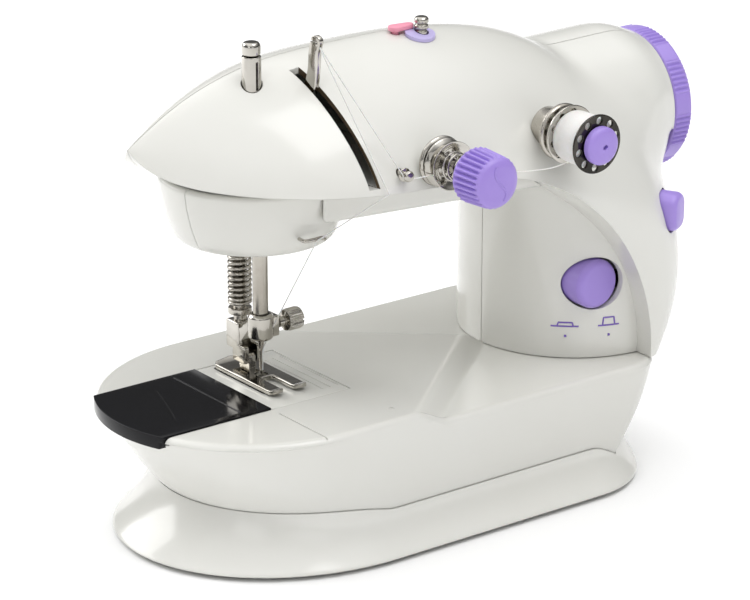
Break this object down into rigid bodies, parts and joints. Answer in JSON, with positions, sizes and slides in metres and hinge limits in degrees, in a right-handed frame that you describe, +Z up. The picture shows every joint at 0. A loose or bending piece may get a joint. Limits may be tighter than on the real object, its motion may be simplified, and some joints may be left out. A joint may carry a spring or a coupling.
{
  "type": "portable sewing machine",
  "caption": "Small electric lockstitch sewing machine with a domed arm, round column, boat-shaped bed, hand wheel, tension dial and presser foot.",
  "frame": {"origin": "middle of the footprint at floor level", "axes": "+X along the arm towards the hand wheel, +Y from the operator to the back, +Z up"},
  "size_m": [0.2204, 0.1307, 0.1675],
  "materials": {
    "white_shell": "glossy injection-moulded warm white plastic",
    "black_plate": "polished black plastic",
    "purple_controls": "satin purple plastic, moulded ribs",
    "lavender_plate": "satin lavender plastic",
    "pink_stop": "satin pink plastic",
    "chrome_fittings": "bright nickel and chrome plate with light handling marks",
    "plain_steel": "plain turned and drawn steel",
    "black_rubber": "matt black rubber",
    "white_thread": "white spun polyester thread",
    "grey_lever": "light grey moulded plastic"
  },
  "bodies": {
    "base": {"front_shell": "white_shell", "rear_shell": "white_shell", "arm_beam": "white_shell", "cup_front": "white_shell", "cup_rear": "white_shell", "bed_body": "white_shell", "needle_plate": "white_shell", "stand": "white_shell", "bottom_plate": "white_shell", "rubber_foot_front_left": "black_rubber", "rubber_foot_front_right": "black_rubber", "rubber_foot_rear_left": "black_rubber", "rubber_foot_rear_right": "black_rubber", "drive_belt": "black_rubber", "motor": "plain_steel", "timing_belt": "black_rubber", "bobbin_case": "plain_steel", "tension_post": "chrome_fittings", "tension_disc_rear": "chrome_fittings", "tension_disc_front": "chrome_fittings", "tension_spring": "chrome_fittings", "arm_guide": "chrome_fittings", "cup_guide": "chrome_fittings", "bobbin_pin": "chrome_fittings", "spool_pin_base": "chrome_fittings", "winder_plate": "lavender_plate", "power_jack": "black_plate", "pedal_jack": "black_plate"},
    "wheel": {"hand_wheel": "purple_controls", "main_shaft": "plain_steel", "crank_disc": "plain_steel"},
    "motor_rotor": {"motor_pulley": "black_plate"},
    "hook_drive": {"lower_shaft": "plain_steel", "rotary_hook": "plain_steel"},
    "lower_bobbin": {"lower_bobbin": "chrome_fittings"},
    "feed": {"feed_dog": "plain_steel"},
    "needle_unit": {"needle_bar": "chrome_fittings", "needle_clamp": "chrome_fittings", "needle": "chrome_fittings"},
    "clamp_screw": {"clamp_screw": "chrome_fittings"},
    "presser_unit": {"presser_bar": "chrome_fittings", "presser_spring": "plain_steel", "foot_holder": "chrome_fittings"},
    "foot_screw": {"foot_screw": "chrome_fittings"},
    "foot": {"presser_foot": "chrome_fittings"},
    "lifter": {"presser_lifter": "grey_lever"},
    "lever": {"take_up_lever": "chrome_fittings"},
    "tension_dial": {"tension_knob": "purple_controls"},
    "upper_bobbin": {"upper_bobbin": "chrome_fittings", "bobbin_thread": "white_thread", "bobbin_cap": "purple_controls"},
    "spool_pin_top": {"spool_pin_top": "chrome_fittings"},
    "winder_spindle": {"winder_spindle": "chrome_fittings"},
    "winder_stop": {"winder_stop": "pink_stop"},
    "slide_plate": {"slide_plate": "black_plate"},
    "battery_door": {"battery_door": "white_shell"},
    "power_button": {"power_button": "purple_controls"},
    "speed_button": {"speed_button": "purple_controls"}
  },
  "joints": [
    {"name": "hand_wheel_spin", "type": "hinge", "parent": "base", "child": "wheel", "pos_m": [0.02925, 0.01495, 0.114], "axis": [1, 0, 0], "continuous": true},
    {"name": "motor_spin", "type": "hinge", "parent": "base", "child": "motor_rotor", "pos_m": [0.08325, 0.02295, 0.072], "axis": [1, 0, 0], "continuous": true},
    {"name": "hook_spin", "type": "hinge", "parent": "base", "child": "hook_drive", "pos_m": [-0.01075, 0.01495, 0.027], "axis": [1, 0, 0], "continuous": true},
    {"name": "lower_bobbin_spin", "type": "hinge", "parent": "base", "child": "lower_bobbin", "pos_m": [-0.06275, 0.01495, 0.027], "axis": [1, 0, 0], "continuous": true},
    {"name": "needle_bar_slide", "type": "slide", "parent": "base", "child": "needle_unit", "axis": [0, 0, 1], "range_m": [-0.011, 0.008]},
    {"name": "take_up_swing", "type": "hinge", "parent": "base", "child": "lever", "pos_m": [-0.05059, 0.00495, 0.134], "axis": [0.9835, 0.181, 0], "range_deg": [-14.6, 17.8]},
    {"name": "feed_dog_slide", "type": "slide", "parent": "base", "child": "feed", "axis": [0, 1, 0], "range_m": [-0.0018, 0.0015]},
    {"name": "clamp_screw_turn", "type": "hinge", "parent": "needle_unit", "child": "clamp_screw", "pos_m": [-0.04275, 0.01495, 0.0654], "axis": [1, 0, 0], "range_deg": [0, 360]},
    {"name": "presser_bar_slide", "type": "slide", "parent": "base", "child": "presser_unit", "axis": [0, 0, 1], "range_m": [0, 0.006], "deforming": ["presser_spring"]},
    {"name": "foot_tilt", "type": "hinge", "parent": "presser_unit", "child": "foot", "pos_m": [-0.05125, 0.02295, 0.0524], "axis": [1, 0, 0], "range_deg": [-2.5, 0.8]},
    {"name": "foot_screw_turn", "type": "hinge", "parent": "presser_unit", "child": "foot_screw", "pos_m": [-0.04675, 0.02795, 0.0604], "axis": [1, 0, 0], "range_deg": [0, 360]},
    {"name": "lifter_turn", "type": "hinge", "parent": "base", "child": "lifter", "pos_m": [-0.04175, 0.04095, 0.107], "axis": [0, 1, 0], "range_deg": [-61, 0]},
    {"name": "tension_turn", "type": "hinge", "parent": "base", "child": "tension_dial", "pos_m": [-0.01925, -0.04905, 0.1277], "axis": [0, -1, 0], "range_deg": [-180, 180]},
    {"name": "upper_bobbin_spin", "type": "hinge", "parent": "base", "child": "upper_bobbin", "pos_m": [0.02945, -0.04605, 0.1283], "axis": [0, -1, 0], "continuous": true},
    {"name": "spool_pin_extend", "type": "slide", "parent": "base", "child": "spool_pin_top", "axis": [0, 0, 1], "range_m": [0, 0.009]},
    {"name": "winder_spin", "type": "hinge", "parent": "base", "child": "winder_spindle", "pos_m": [0.00275, 0.00245, 0.155], "axis": [0, 0, 1], "continuous": true},
    {"name": "winder_stop_swing", "type": "hinge", "parent": "base", "child": "winder_stop", "pos_m": [-0.00535, 0.00555, 0.158], "axis": [0, 0, 1], "range_deg": [0, 40]},
    {"name": "slide_plate_open", "type": "slide", "parent": "base", "child": "slide_plate", "axis": [-1, 0, 0], "range_m": [0, 0.03]},
    {"name": "battery_door_open", "type": "slide", "parent": "base", "child": "battery_door", "axis": [1, 0, 0], "range_m": [0, 0.045]},
    {"name": "power_button_push", "type": "slide", "parent": "base", "child": "power_button", "axis": [-0.5, 0.866, 0], "range_m": [0, 0.002], "stiffness_N_per_m": 400, "springref_m": -0.001},
    {"name": "speed_button_push", "type": "slide", "parent": "base", "child": "speed_button", "axis": [0, 1, 0], "range_m": [0, 0.0025], "stiffness_N_per_m": 400, "springref_m": -0.001}
  ],
  "couplings": [
    {"joint": "motor_spin", "follows": "hand_wheel_spin", "ratio": 3.4444},
    {"joint": "hook_spin", "follows": "hand_wheel_spin", "ratio": 1},
    {"joint": "take_up_swing", "follows": "needle_bar_slide", "rad_per_m": -27.92},
    {"joint": "feed_dog_slide", "follows": "needle_bar_slide", "ratio": 0.15},
    {"joint": "lifter_turn", "follows": "presser_bar_slide", "rad_per_m": -174.5}
  ]
}
